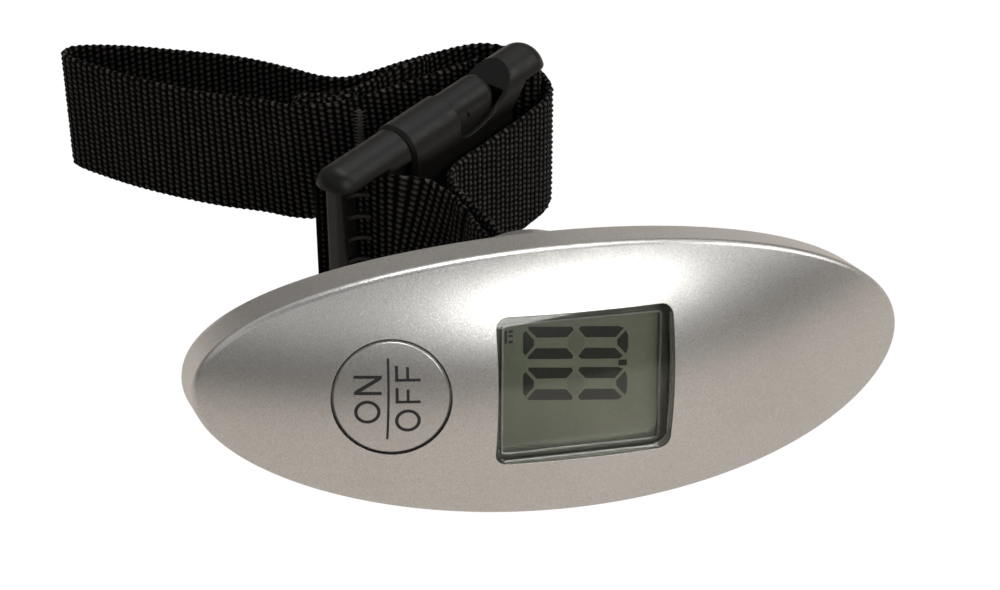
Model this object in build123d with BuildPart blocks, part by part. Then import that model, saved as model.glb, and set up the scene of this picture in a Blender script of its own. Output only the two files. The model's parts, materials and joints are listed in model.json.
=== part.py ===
from build123d import *
import math
import os

os.makedirs("parts", exist_ok=True)

# ---------------------------------------------------------------------------
# Digital luggage scale, millimetres, +Z up, standing on the plane z = 0 with
# its strap loop behind it.  Origin: centre of the footprint on that plane.
# ---------------------------------------------------------------------------

# housing (grip) -------------------------------------------------------------
body_half_len = 60.0          # ellipse semi-axis along the grip
body_half_wid = 22.06         # ellipse semi-axis across the grip
face_r_long = 119.8           # radius of the domed face along the grip
face_r_cross = 42.9           # radius of the domed face across the grip
wall = 1.8                    # shell wall
front_depth = 7.0             # depth of the front shell at its rim
back_depth = 18.5             # face apex to the flat of the back
back_r_long = 150.0           # radius of the arched back
rim_round = 1.3
back_round = 4.6
parting_gap = 0.08
fit_gap = 0.15

# window and button -----------------------------------------------------------
win_u, win_v = -0.5, 0.3
win_len, win_wid, win_r = 29.2, 24.1, 2.0
btn_u, btn_d = -31.3, 18.8    # hole diameter in the face
btn_gap = 0.25
btn_travel = 0.8

# neck and load cell ----------------------------------------------------------
neck_r = 16.8
neck_end = 35.5               # depth of the neck's end face below the apex
neck_wall = 1.5
pin_depth = 30.0
pin_r = 2.0
slot_half_w, slot_half_l = 6.2, 13.7

# strap and buckle ------------------------------------------------------------
web_w, web_t = 25.0, 1.4
bk_angle = 35.3               # buckle axis, degrees from +X towards +Y
bk_x, bk_y, bk_mid = -28.2, 62.2, 16.7
sock_t, plug_t = 9.7, 8.7
sock_w, plug_w = 33.0, 32.0
sock_start, sock_end = 19.6, 59.8
plug_start, plug_len = 1.3, 19.3
bar_b, bar_r = 57.6, 1.6      # strap bar of the socket
arm_piv_b, arm_piv_z = 18.2, 26.2

# resting pose of the housing: unit vectors of its long, short and face axes --
apex_x, apex_y, apex_z = 1.535, -65.60, 26.65


def norm(a):
    m = math.sqrt(sum(c * c for c in a))
    return tuple(c / m for c in a)


def cross(a, b):
    return (a[1] * b[2] - a[2] * b[1], a[2] * b[0] - a[0] * b[2], a[0] * b[1] - a[1] * b[0])


def lin(o, *terms):
    return tuple(o[i] + sum(k * d[i] for k, d in terms) for i in range(3))


roll, lean = math.radians(5.85), math.radians(17.42)
U = (math.cos(roll), 0.0, -math.sin(roll))
N = norm((math.sin(roll) * math.sin(lean), -math.cos(lean), math.cos(roll) * math.sin(lean)))
V = cross(N, U)
O = (apex_x, apex_y, apex_z)


def bp(u, v, w):
    """Row-frame point from housing coordinates (long, short, out of the face)."""
    return lin(O, (u, U), (v, V), (w, N))


BODY = Plane(origin=O, x_dir=U, z_dir=N)


def radial_plane(angle_deg, depth_axis):
    """Plane holding V, turned about the arch axis that lies depth_axis below the apex."""
    a = math.radians(angle_deg)
    n2 = lin((0, 0, 0), (math.cos(a), N), (math.sin(a), U))
    return Plane(origin=bp(0, 0, -depth_axis), x_dir=V, z_dir=cross(V, n2))


FACE_AXIS = Axis(bp(0, 0, -face_r_long), V)
BACK_AXIS_PLANE = Plane(origin=bp(0, 0, -(back_depth + back_r_long)), x_dir=U, z_dir=V)


def dome_band(d_top, d_bot, flat_bottom=None):
    """Face-parallel band between two depths, drawn in (short axis, radius) on one side of the arch."""
    c = face_r_long - face_r_cross
    r1, r2, h = face_r_cross - d_top, face_r_cross - d_bot, 27.0

    def curve(r, sgn):
        xs = [sgn * (-h + 2 * h * k / 8) for k in range(9)]
        return [(x, c + math.sqrt(r * r - x * x)) for x in xs]

    with BuildSketch(radial_plane(-36, face_r_long)) as band:
        with BuildLine():
            top, bot = curve(r1, 1), curve(r2, -1)
            Spline(*top)
            if flat_bottom is None:
                Line(top[-1], bot[0])
                Spline(*bot)
                Line(bot[-1], top[0])
            else:
                y2 = face_r_long - flat_bottom
                Polyline(top[-1], (h, y2), (-h, y2), top[0])
        make_face()
    return band.sketch


def ellipse_body(a, b, top, depth):
    with BuildSketch(BODY.offset(top)) as oval:
        Ellipse(a, b)
    extrude(oval.sketch, amount=-depth)


def clip_dome(d_top, d_bot, flat_bottom=None):
    revolve(dome_band(d_top, d_bot, flat_bottom), axis=FACE_AXIS, revolution_arc=72, mode=Mode.INTERSECT)


def save(part, name):
    part.label = name
    export_step(part, "parts/" + name + ".step")


def back_w(u, extra=0.0):
    """Depth coordinate of the arched back at a place along the grip."""
    return -(back_depth + back_r_long) + math.sqrt((back_r_long + extra) ** 2 - u * u)


def face_w(u, v=0.0):
    rr = face_r_long - face_r_cross + math.sqrt(face_r_cross ** 2 - v * v)
    return -face_r_long + math.sqrt(rr * rr - u * u)


# local frame of the power button: normal to the face where it sits
th_b = math.asin(btn_u / face_r_long)
btn_n = lin((0, 0, 0), (math.cos(th_b), N), (math.sin(th_b), U))
btn_x = lin((0, 0, 0), (math.cos(th_b), U), (-math.sin(th_b), N))
BTN = Plane(origin=bp(btn_u, win_v, face_w(btn_u)), x_dir=btn_x, z_dir=btn_n)

# local frame of the battery bay: outward normal of the arched back
bay_u = 33.0
th_y = math.asin(bay_u / back_r_long)
bay_n = lin((0, 0, 0), (-math.cos(th_y), N), (-math.sin(th_y), U))
bay_x = lin((0, 0, 0), (math.cos(th_y), U), (-math.sin(th_y), N))
BAY = Plane(origin=bp(bay_u, 0, back_w(bay_u)), x_dir=bay_x, z_dir=bay_n)

screw_uv = [(-51.5, 0.0), (51.5, 0.0), (-21.5, 15.0), (19.6, -15.4)]
screw_seat = [-25.2, -25.2, -17.6, -17.6]      # depth where each screw head bears
unit_u, unit_v = -30.0, -8.0
post_uv = [(-43.6, 4.5), (-43.6, -4.5)]
pcb_front, pcb_t = -12.0, 1.6

# ---------------------------------------------------------------------------
# front_shell
# ---------------------------------------------------------------------------
with BuildPart() as front_void:
    ellipse_body(body_half_len - wall, body_half_wid - wall, 3, 40)
    clip_dome(wall, 0, flat_bottom=45)

# screw bosses and board posts, cut back so that they end inside the wall
with BuildPart() as front_bosses:
    for (su, sv), seat in zip(screw_uv, screw_seat):
        with BuildSketch(BODY.offset(seat + 2.6)):
            with Locations((su, sv)):
                Circle(2.8)
        extrude(amount=-(seat + 2.6))
    for (su, sv) in post_uv:
        with BuildSketch(BODY.offset(pcb_front + 0.02)):
            with Locations((su, sv)):
                Circle(2.0)
        extrude(amount=-pcb_front)
    clip_dome(0.8, 0, flat_bottom=45)

with BuildPart() as front_shell:
    ellipse_body(body_half_len, body_half_wid, 3, 40)
    clip_dome(0, front_depth)
    rim = front_shell.edges().filter_by(lambda e: e.length > 150).sort_by(Axis(O, N))[-1:]
    fillet(rim, rim_round)
    add(front_void.part, mode=Mode.SUBTRACT)
    # window
    with BuildSketch(BODY.offset(3)):
        with Locations((win_u, win_v)):
            RectangleRounded(win_len, win_wid, win_r)
    extrude(amount=-12, mode=Mode.SUBTRACT)
    # button hole
    with BuildSketch(BTN.offset(3)):
        Circle(btn_d / 2)
    extrude(amount=-8, mode=Mode.SUBTRACT)
    add(front_bosses.part)
    for (su, sv), seat in zip(screw_uv, screw_seat):
        with BuildSketch(BODY.offset(seat + 2.0)):
            with Locations((su, sv)):
                Circle(1.3)
        extrude(amount=7.4, mode=Mode.SUBTRACT)
    for (su, sv) in post_uv:
        with BuildSketch(BODY.offset(pcb_front - 0.1)):
            with Locations((su, sv)):
                Circle(0.85)
        extrude(amount=2.2, mode=Mode.SUBTRACT)
save(front_shell.part, "front_shell")

# ---------------------------------------------------------------------------
# back_shell: arched dish, neck, battery bay, screw recesses
# ---------------------------------------------------------------------------
with BuildPart() as back_outer:
    ellipse_body(body_half_len - 0.1, body_half_wid - 0.1, 3, 42)
    clip_dome(front_depth + parting_gap, 0, flat_bottom=60)
    with BuildSketch(BACK_AXIS_PLANE):
        Circle(back_r_long)
    extrude(amount=60, both=True, mode=Mode.SUBTRACT)
    low = back_outer.edges().filter_by(lambda e: e.length > 150).sort_by(Axis(O, N))[:1]
    fillet(low, back_round)

with BuildPart() as back_void:
    ellipse_body(body_half_len - wall - 0.1, body_half_wid - wall - 0.1, 3, 42)
    with BuildSketch(BACK_AXIS_PLANE):
        Circle(back_r_long + wall)
    extrude(amount=60, both=True, mode=Mode.SUBTRACT)
    low = back_void.edges().filter_by(lambda e: e.length > 150).sort_by(Axis(O, N))[:1]
    fillet(low, back_round - wall)

with BuildPart() as bay_block:
    with BuildSketch(BAY.offset(-6.8)):
        RectangleRounded(26.4, 24.8, 2.5)
    extrude(amount=6.0)
    add(back_outer.part, mode=Mode.INTERSECT)

with BuildPart() as back_shell:
    add(back_outer.part)
    add(back_void.part, mode=Mode.SUBTRACT)
    # neck with a flared root
    with BuildSketch(BODY.offset(-neck_end)):
        Circle(neck_r)
    extrude(amount=neck_end - back_depth + 0.9)
    ring = back_shell.faces().filter_by(Plane(origin=O, x_dir=U, z_dir=N)).sort_by(Axis(O, N))[0]
    fillet(ring.outer_wire().edges(), 1.5)
    # battery bay block, then its hollows
    add(bay_block.part)
    with BuildSketch(BODY.offset(-neck_end + neck_wall)):
        Circle(neck_r - neck_wall)
    extrude(amount=neck_end - neck_wall - back_depth + 6.0, mode=Mode.SUBTRACT)
    # ledges that carry the ends of the load cell
    with BuildSketch(BODY.offset(-26.5)):
        Circle(neck_r - neck_wall + 0.3)
        Rectangle(18.6, 40, mode=Mode.SUBTRACT)
    extrude(amount=3.05)
    with BuildSketch(BODY.offset(-26.6)):
        with Locations((-12.0, 0), (12.0, 0)):
            Circle(1.55)
    extrude(amount=4.0, mode=Mode.SUBTRACT)
    # strap slot through the neck's end wall
    with BuildSketch(BODY.offset(-neck_end - 1)):
        RectangleRounded(2 * slot_half_w, 2 * slot_half_l, 1.6)
    extrude(amount=4, mode=Mode.SUBTRACT)
    # battery cover recess, bay, hook pockets
    with BuildSketch(BAY.offset(-1.6)):
        RectangleRounded(24.4, 23.4, 2.2)
    extrude(amount=6, mode=Mode.SUBTRACT)
    with BuildSketch(BAY.offset(-5.6)):
        Circle(10.6)
    extrude(amount=8, mode=Mode.SUBTRACT)
    with BuildSketch(BAY.offset(-3.05)):
        with Locations((11.25, 7.0), (11.25, -7.0)):
            Rectangle(4.5, 4.6)
    extrude(amount=1.5, mode=Mode.SUBTRACT)
    with BuildSketch(BAY.offset(-1.7)):
        with Locations((-12.0, 0)):
            Circle(3.4)
    extrude(amount=6, mode=Mode.SUBTRACT)
    # slot for the negative contact's tail and notch for the positive contact
    with BuildSketch(BAY.offset(-8)):
        with Locations((-5.0, 0)):
            Rectangle(1.2, 3.6)
    extrude(amount=4.5, mode=Mode.SUBTRACT)
    with BuildSketch(BAY.offset(-8)):
        with Locations((-10.5, 0)):
            Rectangle(1.6, 4.4)
    extrude(amount=6.5, mode=Mode.SUBTRACT)
    # screw bosses and counterbores
    for (su, sv), seat in zip(screw_uv, screw_seat):
        with BuildSketch(BODY.offset(seat)):
            with Locations((su, sv)):
                Circle(4.1)
        extrude(amount=2.55)
    for (su, sv), seat in zip(screw_uv, screw_seat):
        with BuildSketch(BODY.offset(seat - 0.01)):
            with Locations((su, sv)):
                Circle(1.45)
        extrude(amount=4, mode=Mode.SUBTRACT)
        with BuildSketch(BODY.offset(seat)):
            with Locations((su, sv)):
                Circle(2.9)
        extrude(amount=-12, mode=Mode.SUBTRACT)
    # unit button hole
    with BuildSketch(BODY.offset(-26)):
        with Locations((unit_u, unit_v)):
            Circle(3.05)
    extrude(amount=8, mode=Mode.SUBTRACT)
save(back_shell.part, "back_shell")

# ---------------------------------------------------------------------------
# display: lens, panel, frame, elastomer strips
# ---------------------------------------------------------------------------
with BuildPart() as lens_flange:
    with BuildSketch(BODY.offset(2)):
        with Locations((win_u, win_v)):
            RectangleRounded(win_len + 1.8, win_wid - 2.4, 1.2)
    extrude(amount=-8)
    clip_dome(wall + 0.06, wall + 0.8)

with BuildPart() as display_lens:
    with BuildSketch(BODY.offset(2)):
        with Locations((win_u, win_v)):
            RectangleRounded(win_len - 2 * fit_gap, win_wid - 2 * fit_gap, win_r - fit_gap)
    extrude(amount=-8)
    clip_dome(0.2, wall + 0.5)
    add(lens_flange.part)
save(display_lens.part, "display_lens")

lcd_top, lcd_t = -5.85, 2.2
with BuildPart() as lcd_panel:
    with BuildSketch(BODY.offset(lcd_top - lcd_t)):
        with Locations((win_u, win_v)):
            Rectangle(33.0, 26.0)
    extrude(amount=lcd_t)
save(lcd_panel.part, "lcd_panel")

with BuildPart() as lcd_frame:
    with BuildSketch(BODY.offset(pcb_front + 0.03)):
        with Locations((win_u, win_v)):
            RectangleRounded(35.2, 27.6, 2.0)
    extrude(amount=-pcb_front - 0.03 - 5.2)
    clip_dome(wall + 0.12, 0, flat_bottom=45)
    with BuildSketch(BODY.offset(pcb_front - 1)):
        with Locations((win_u, win_v)):
            Rectangle(33.2, 26.2)
    extrude(amount=-pcb_front + 1 - 5.8, mode=Mode.SUBTRACT)
    with BuildSketch(BODY.offset(-8)):
        with Locations((win_u, win_v)):
            RectangleRounded(30.6, 24.4, 0.8)
    extrude(amount=6, mode=Mode.SUBTRACT)
save(lcd_frame.part, "lcd_frame")

with BuildPart() as zebra_strips:
    with BuildSketch(BODY.offset(pcb_front + 0.02)):
        with Locations((win_u, win_v + 11.2), (win_u, win_v - 11.2)):
            Rectangle(29.0, 2.2)
    extrude(amount=-pcb_front - 0.04 + lcd_top - lcd_t)
save(zebra_strips.part, "zebra_strips")

# ---------------------------------------------------------------------------
# circuit board and what is soldered on it
# ---------------------------------------------------------------------------
with BuildPart() as circuit_board:
    with BuildSketch(BODY.offset(pcb_front - pcb_t)):
        with Locations((-13.45, 0)):
            RectangleRounded(65.7, 23.0, 5.5)
        with Locations(*post_uv):
            Circle(1.1, mode=Mode.SUBTRACT)
        with Locations((13.0, 9.2), (13.0, -9.2)):
            Circle(0.9, mode=Mode.SUBTRACT)
    extrude(amount=pcb_t)
save(circuit_board.part, "circuit_board")

with BuildPart() as controller_chip:
    with BuildSketch(BODY.offset(pcb_front - pcb_t - 1.3)):
        with Locations((-1.0, 0.0)):
            Rectangle(7.0, 7.0)
    extrude(amount=1.28)
    with BuildSketch(BODY.offset(pcb_front - pcb_t - 0.35)):
        for k in range(6):
            with Locations((-1.0, -2.5 + k)):
                Rectangle(9.0, 0.35)
            with Locations((-3.5 + k, 0.0)):
                Rectangle(0.35, 9.0)
    extrude(amount=0.33)
save(controller_chip.part, "controller_chip")

sw_u = -30.25
with BuildPart() as power_switch:
    with BuildSketch(BODY.offset(pcb_front + 0.02)):
        with Locations((sw_u, win_v)):
            RectangleRounded(6.0, 6.0, 0.5)
    extrude(amount=3.0)
    with BuildSketch(BODY.offset(pcb_front + 1.8)):
        with Locations((sw_u, win_v)):
            Circle(1.8)
    extrude(amount=3, mode=Mode.SUBTRACT)
save(power_switch.part, "power_switch")

with BuildPart() as power_switch_plunger:
    with BuildSketch(BODY.offset(-9.7)):
        with Locations((sw_u, win_v)):
            Circle(1.7)
    extrude(amount=1.3)
    chamfer(power_switch_plunger.faces().sort_by(Axis(O, N))[-1:].edges(), 0.25)
save(power_switch_plunger.part, "power_switch_plunger")

with BuildPart() as unit_switch:
    with BuildSketch(BODY.offset(pcb_front - pcb_t - 1.7)):
        with Locations((unit_u, unit_v)):
            RectangleRounded(4.4, 4.4, 0.4)
    extrude(amount=1.68)
    with BuildSketch(BODY.offset(pcb_front - pcb_t - 2.2)):
        with Locations((unit_u, unit_v)):
            Circle(0.9)
    extrude(amount=0.6)
save(unit_switch.part, "unit_switch")

with BuildPart() as board_screws:
    for (su, sv) in post_uv:
        with BuildSketch(BODY.offset(pcb_front - pcb_t - 1.2)):
            with Locations((su, sv)):
                Circle(1.7)
        extrude(amount=1.17)
        with BuildSketch(BODY.offset(pcb_front - pcb_t - 0.5)):
            with Locations((su, sv)):
                Circle(0.8)
        extrude(amount=4.0)
        with BuildSketch(BODY.offset(pcb_front - pcb_t - 1.3)):
            with Locations((su, sv)):
                Rectangle(2.0, 0.4)
                Rectangle(0.4, 2.0)
        extrude(amount=0.6, mode=Mode.SUBTRACT)
save(board_screws.part, "board_screws")

# ---------------------------------------------------------------------------
# power button and unit button
# ---------------------------------------------------------------------------
with BuildPart() as power_button:
    with BuildSketch(BTN.offset(2)):
        Circle(btn_d / 2 - btn_gap)
    extrude(amount=-6)
    clip_dome(0.0, wall + 1.1)
    top = power_button.edges().filter_by(lambda e: e.length > 40).sort_by(Axis(BTN.origin, BTN.z_dir))[-1:]
    chamfer(top, 0.35)
    with BuildSketch(BTN.offset(-4.15)):
        Circle(btn_d / 2 + 0.8)
        Circle(btn_d / 2 - 2.2, mode=Mode.SUBTRACT)
    extrude(amount=0.95)
    with BuildSketch(BTN.offset(-3.5)):
        Circle(1.6)
    extrude(amount=2.0)
save(power_button.part, "power_button")

with BuildPart() as unit_button:
    with BuildSketch(BODY.offset(back_w(unit_u) - 0.35)):
        with Locations((unit_u, unit_v)):
            Circle(2.85)
    extrude(amount=3.2)
    fillet(unit_button.faces().sort_by(Axis(O, N))[:1].edges(), 0.5)
    with BuildSketch(BODY.offset(back_w(unit_u, wall) + 1.05)):
        with Locations((unit_u, unit_v)):
            Circle(4.0)
    extrude(amount=0.9)
    with BuildSketch(BODY.offset(back_w(unit_u, wall) + 0.6)):
        with Locations((unit_u, unit_v)):
            Circle(1.2)
    extrude(amount=-16.5 - (back_w(unit_u, wall) + 0.6))
save(unit_button.part, "unit_button")

# ---------------------------------------------------------------------------
# load cell, its screws and gauges, stirrup and load pin
# ---------------------------------------------------------------------------
cell_back, cell_t = -23.4, 4.9
with BuildPart() as load_cell:
    with BuildSketch(BODY.offset(cell_back)):
        RectangleRounded(28.8, 11.0, 1.0)
        with Locations((-12.0, 0), (12.0, 0)):
            Circle(1.7, mode=Mode.SUBTRACT)
    extrude(amount=cell_t)
    with BuildSketch(Plane(origin=bp(0, 0, cell_back + cell_t / 2), x_dir=U, z_dir=lin((0, 0, 0), (-1, V)))):
        with Locations((-5.2, 0), (5.2, 0)):
            Circle(1.6)
        Rectangle(10.4, 1.2)
    extrude(amount=10, both=True, mode=Mode.SUBTRACT)
save(load_cell.part, "load_cell")

with BuildPart() as strain_gauges:
    with BuildSketch(BODY.offset(cell_back + cell_t + 0.01)):
        with Locations((-6.2, 0), (6.2, 0)):
            Rectangle(3.0, 6.0)
    extrude(amount=0.12)
save(strain_gauges.part, "strain_gauges")

with BuildPart() as load_cell_screws:
    for s in (-12.0, 12.0):
        with BuildSketch(BODY.offset(cell_back + cell_t + 0.03)):
            with Locations((s, 0)):
                Circle(2.4)
        extrude(amount=1.3)
        with BuildSketch(BODY.offset(cell_back + cell_t + 0.6)):
            with Locations((s, 0)):
                Circle(1.5)
        extrude(amount=-8.3)
        with BuildSketch(BODY.offset(cell_back + cell_t + 0.8)):
            with Locations((s, 0)):
                Rectangle(3.2, 0.5)
                Rectangle(0.5, 3.2)
        extrude(amount=1.0, mode=Mode.SUBTRACT)
save(load_cell_screws.part, "load_cell_screws")

stir_v0, stir_v1 = 13.2, 14.4
with BuildPart() as stirrup:
    with BuildSketch(Plane(origin=bp(0, 0, 0), x_dir=V, z_dir=U)):
        with BuildLine():
            Polyline((-stir_v1, -33.2), (-stir_v1, -17.1), (stir_v1, -17.1), (stir_v1, -33.2),
                     (stir_v0, -33.2), (stir_v0, -18.45), (-stir_v0, -18.45), (-stir_v0, -33.2), close=True)
        make_face()
    extrude(amount=3.6, both=True)
    outer = stirrup.edges().filter_by(Axis(O, U)).group_by(Axis(O, N))[-1]
    fillet(outer, 1.2)
    with BuildSketch(Plane(origin=bp(0, 0, -pin_depth), x_dir=U, z_dir=V)):
        Circle(pin_r + 0.02)
    extrude(amount=20, both=True, mode=Mode.SUBTRACT)
save(stirrup.part, "stirrup")

with BuildPart() as load_pin:
    with BuildSketch(Plane(origin=bp(0, 0, -pin_depth), x_dir=U, z_dir=V)):
        Circle(pin_r)
    extrude(amount=14.8, both=True)
    chamfer(load_pin.edges().filter_by(GeomType.CIRCLE), 0.3)
save(load_pin.part, "load_pin")

with BuildPart() as load_cell_wires:
    for i, (su, sv) in enumerate([(-7.0, 2.0), (-5.6, -2.0), (5.6, 2.0), (7.0, -2.0)]):
        sgn = 1 if su > 0 else -1
        pu = 12.0 + 0.9 * (i % 2) if su > 0 else -14.5 - 0.9 * (i % 2)
        pv = sv * 2.0
        a = bp(su, sv, -18.0)
        with BuildLine() as run:
            Spline(a, bp(su + 0.5 * sgn, sv * 1.2, -16.6), bp((su + pu) / 2, (sv + pv) / 2, -15.6),
                   bp(pu, pv, -13.95), tangents=(N, N))
        with BuildSketch(Plane(origin=a, z_dir=N)) as wire_end:
            Circle(0.38)
        sweep(wire_end.sketch, path=run.line)
save(load_cell_wires.part, "load_cell_wires")

# ---------------------------------------------------------------------------
# battery, contacts, cover
# ---------------------------------------------------------------------------
with BuildPart() as battery_cell:
    with BuildSketch(BAY.offset(-5.2)):
        Circle(9.1)
    extrude(amount=0.5)
    with BuildSketch(BAY.offset(-4.8)):
        Circle(10.0)
    extrude(amount=2.8)
    chamfer(battery_cell.faces().sort_by(Axis(BAY.origin, BAY.z_dir))[-1:].edges(), 0.3)
save(battery_cell.part, "battery_cell")

with BuildPart() as battery_contact_negative:
    with BuildSketch(BAY.offset(-5.55)):
        Rectangle(11.0, 3.0)
    extrude(amount=0.28)
    with BuildSketch(BAY.offset(-8.2)):
        with Locations((-5.0, 0)):
            Rectangle(0.4, 3.0)
    extrude(amount=2.8)
save(battery_contact_negative.part, "battery_contact_negative")

with BuildPart() as battery_contact_positive:
    with BuildSketch(BAY.offset(-8.2)):
        with Locations((-10.7, 0)):
            Rectangle(0.35, 3.6)
    extrude(amount=5.6)
save(battery_contact_positive.part, "battery_contact_positive")

with BuildPart() as battery_wires:
    for (sx, pv) in ((-5.0, 3.6), (-10.7, -3.6)):
        a = Vector(*BAY.origin) + Vector(*BAY.x_dir) * sx - Vector(*BAY.z_dir) * 8.65
        a = a + Vector(*V) * (0.8 if pv > 0 else -0.8)
        with BuildLine() as run:
            lead = Spline((a.X, a.Y, a.Z), bp(21.4, pv * 0.8, -10.3), bp(18.6, pv, -11.55),
                          tangents=(lin((0, 0, 0), (-1, bay_n)), lin((0, 0, 0), (-0.5, U), (-0.87, N))))
        with BuildSketch(Plane(origin=lead @ 0, z_dir=lead % 0)) as wire_end:
            Circle(0.4)
        sweep(wire_end.sketch, path=run.line)
save(battery_wires.part, "battery_wires")

with BuildPart() as battery_cover:
    with BuildSketch(BAY.offset(-1.5)):
        RectangleRounded(24.0, 23.0, 2.0)
    extrude(amount=6)
    add(back_outer.part, mode=Mode.INTERSECT)
    # finger notch beside the neck, hooks at the far edge
    with BuildSketch(BAY.offset(-0.7)):
        with Locations((-10.6, 0)):
            SlotOverall(7.0, 2.0, rotation=90)
    extrude(amount=3, mode=Mode.SUBTRACT)
    with BuildSketch(Plane(origin=BAY.origin, x_dir=BAY.x_dir, z_dir=-BAY.y_dir)):
        with BuildLine():
            Polyline((10.9, -1.0), (10.9, -2.6), (13.0, -2.6), (13.0, -1.75), (11.95, -1.75), (11.95, -1.0), close=True)
        make_face()
    hooks = extrude(amount=1.8, both=True, mode=Mode.PRIVATE)
    add(hooks.moved(Location(BAY.y_dir * 7.0)))
    add(hooks.moved(Location(BAY.y_dir * -7.0)))
save(battery_cover.part, "battery_cover")

# ---------------------------------------------------------------------------
# housing screws
# ---------------------------------------------------------------------------
with BuildPart() as housing_screws:
    for (su, sv), seat in zip(screw_uv, screw_seat):
        with BuildSketch(BODY.offset(seat - 0.03)):
            with Locations((su, sv)):
                Circle(2.5)
        extrude(amount=-1.6)
        with BuildSketch(BODY.offset(seat - 0.5)):
            with Locations((su, sv)):
                Circle(1.25)
        extrude(amount=9.2)
        with BuildSketch(BODY.offset(seat - 0.75)):
            with Locations((su, sv)):
                Rectangle(3.0, 0.55)
                Rectangle(0.55, 3.0)
        extrude(amount=-1.5, mode=Mode.SUBTRACT)
save(housing_screws.part, "housing_screws")

# ---------------------------------------------------------------------------
# buckle: local axes b (plug end to strap bar), n (towards the grip), z up
# ---------------------------------------------------------------------------
ca, sa = math.cos(math.radians(bk_angle)), math.sin(math.radians(bk_angle))
BD, ND, ZD = (ca, sa, 0.0), (sa, -ca, 0.0), (0.0, 0.0, 1.0)
BK0 = (apex_x + bk_x, apex_y + bk_y, 0.0)
SIDE = Plane(origin=BK0, x_dir=BD, z_dir=ND)            # sketch axes: b, z


def cross_plane(b):
    return Plane(origin=lin(BK0, (b, BD)), x_dir=ND, z_dir=(-ca, -sa, 0.0))   # sketch axes: n, z


def bk(b, n, z):
    return lin(BK0, (b, BD), (n, ND), (z, ZD))


def scallop(flip):
    s = (lambda z: 2 * bk_mid - z) if flip else (lambda z: z)
    with BuildSketch(SIDE) as side_cut:
        with BuildLine():
            Line((32.6, s(38)), (32.6, s(28.0)))
            Spline((32.6, s(28.0)), (33.5, s(26.3)), (36.4, s(25.8)), (41.4, s(26.8)), (44.6, s(28.3)),
                   (47.0, s(30.2)), (50.3, s(33.6)))
            Line((50.3, s(33.6)), (52.5, s(38)))
            Line((52.5, s(38)), (32.6, s(38)))
        make_face()
    extrude(side_cut.sketch, amount=8, both=True, mode=Mode.SUBTRACT)


with BuildPart() as buckle_socket:
    with BuildSketch(cross_plane(sock_start)):
        with Locations((0, bk_mid)):
            SlotOverall(sock_w, sock_t, rotation=90)
    extrude(amount=-(sock_end - sock_start))
    far = buckle_socket.faces().sort_by(Axis(BK0, BD))[-1:].edges()
    fillet(far, 3.8)
    near = buckle_socket.faces().sort_by(Axis(BK0, BD))[:1].edges()
    chamfer(near, 0.7)
    # throat for the prongs
    with BuildSketch(cross_plane(sock_start - 1)):
        with Locations((0, bk_mid)):
            RectangleRounded(7.6, 28.8, 1.6)
    extrude(amount=-(46.3 - sock_start + 1), mode=Mode.SUBTRACT)
    # side openings
    scallop(False)
    scallop(True)
    # strap window, open to the far end
    with BuildSketch(SIDE):
        with BuildLine():
            Polyline((47.6, 8.2), (51.8, 3.9), (64, 3.9), (64, 29.5), (51.8, 29.5), (47.6, 25.2), close=True)
        make_face()
    extrude(amount=8, both=True, mode=Mode.SUBTRACT)
    # strap bar
    with BuildSketch(Plane(origin=bk(bar_b, 0, 3.2), x_dir=BD, z_dir=ZD)):
        Circle(bar_r)
    extrude(amount=27.0)
save(buckle_socket.part, "buckle_socket")

with BuildPart() as buckle_plug:
    with BuildSketch(cross_plane(plug_start)):
        with Locations((0, bk_mid)):
            SlotOverall(plug_w, plug_t, rotation=90)
    extrude(amount=-(plug_len - plug_start))
    fillet(buckle_plug.faces().sort_by(Axis(BK0, BD))[:1].edges(), 3.6)
    # open middle: strap slots
    with BuildSketch(SIDE):
        with BuildLine():
            Polyline((-2, 4.0), (13.4, 4.0), (13.4, 29.4), (-2, 29.4), close=True)
        make_face()
    extrude(amount=8, both=True, mode=Mode.SUBTRACT)
    # the web plate between the rails, thinner than the rails
    with BuildSketch(Plane(origin=bk(13.0, 0, 5.2), x_dir=BD, z_dir=ZD)):
        with Locations((3.2 + 1.0, 5.6), (3.2 + 1.0, -5.6)):
            Rectangle(8.4, 6.0)
    extrude(amount=23.0, mode=Mode.SUBTRACT)
    # end bar
    with BuildSketch(Plane(origin=bk(2.95, 0, 3.4), x_dir=BD, z_dir=ZD)):
        with Locations((0, -0.9)):
            RectangleRounded(2.4, 3.6, 1.0)
    extrude(amount=26.6)
    # toothed bar with its ribs
    with BuildSketch(Plane(origin=bk(0, 0, 3.4), x_dir=BD, z_dir=ZD)):
        with BuildLine():
            Polyline((5.0, 1.8), (9.2, 1.8), (9.2, 0.2), (8.6, -0.2), (5.4, -0.2), (5.0, 0.2), close=True)
        make_face()
    extrude(amount=26.6)
    for k in range(5):
        with BuildSketch(Plane(origin=bk(0, 0, bk_mid - 9.0 + 4.5 * k - 0.35), x_dir=BD, z_dir=ZD)):
            with BuildLine():
                Polyline((9.2, 0.5), (5.4, 0.5), (5.4, -0.5))
                ThreePointArc((5.4, -0.5), (7.9, -1.3), (9.2, -3.3))
                Line((9.2, -3.3), (9.2, 0.5))
            make_face()
        extrude(amount=0.7)
    # guide tongue
    with BuildSketch(cross_plane(plug_len - 1)):
        with Locations((0, bk_mid)):
            RectangleRounded(4.8, 6.0, 0.8)
    extrude(amount=-17.5)
    # seats for the two prongs
    for zz in (arm_piv_z, 2 * bk_mid - arm_piv_z):
        with BuildSketch(SIDE):
            with Locations((arm_piv_b, zz)):
                Circle(1.75)
            with Locations((arm_piv_b + 1.6, zz)):
                Rectangle(3.2, 2.9)
        extrude(amount=4, both=True, mode=Mode.SUBTRACT)
save(buckle_plug.part, "buckle_plug")


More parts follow.
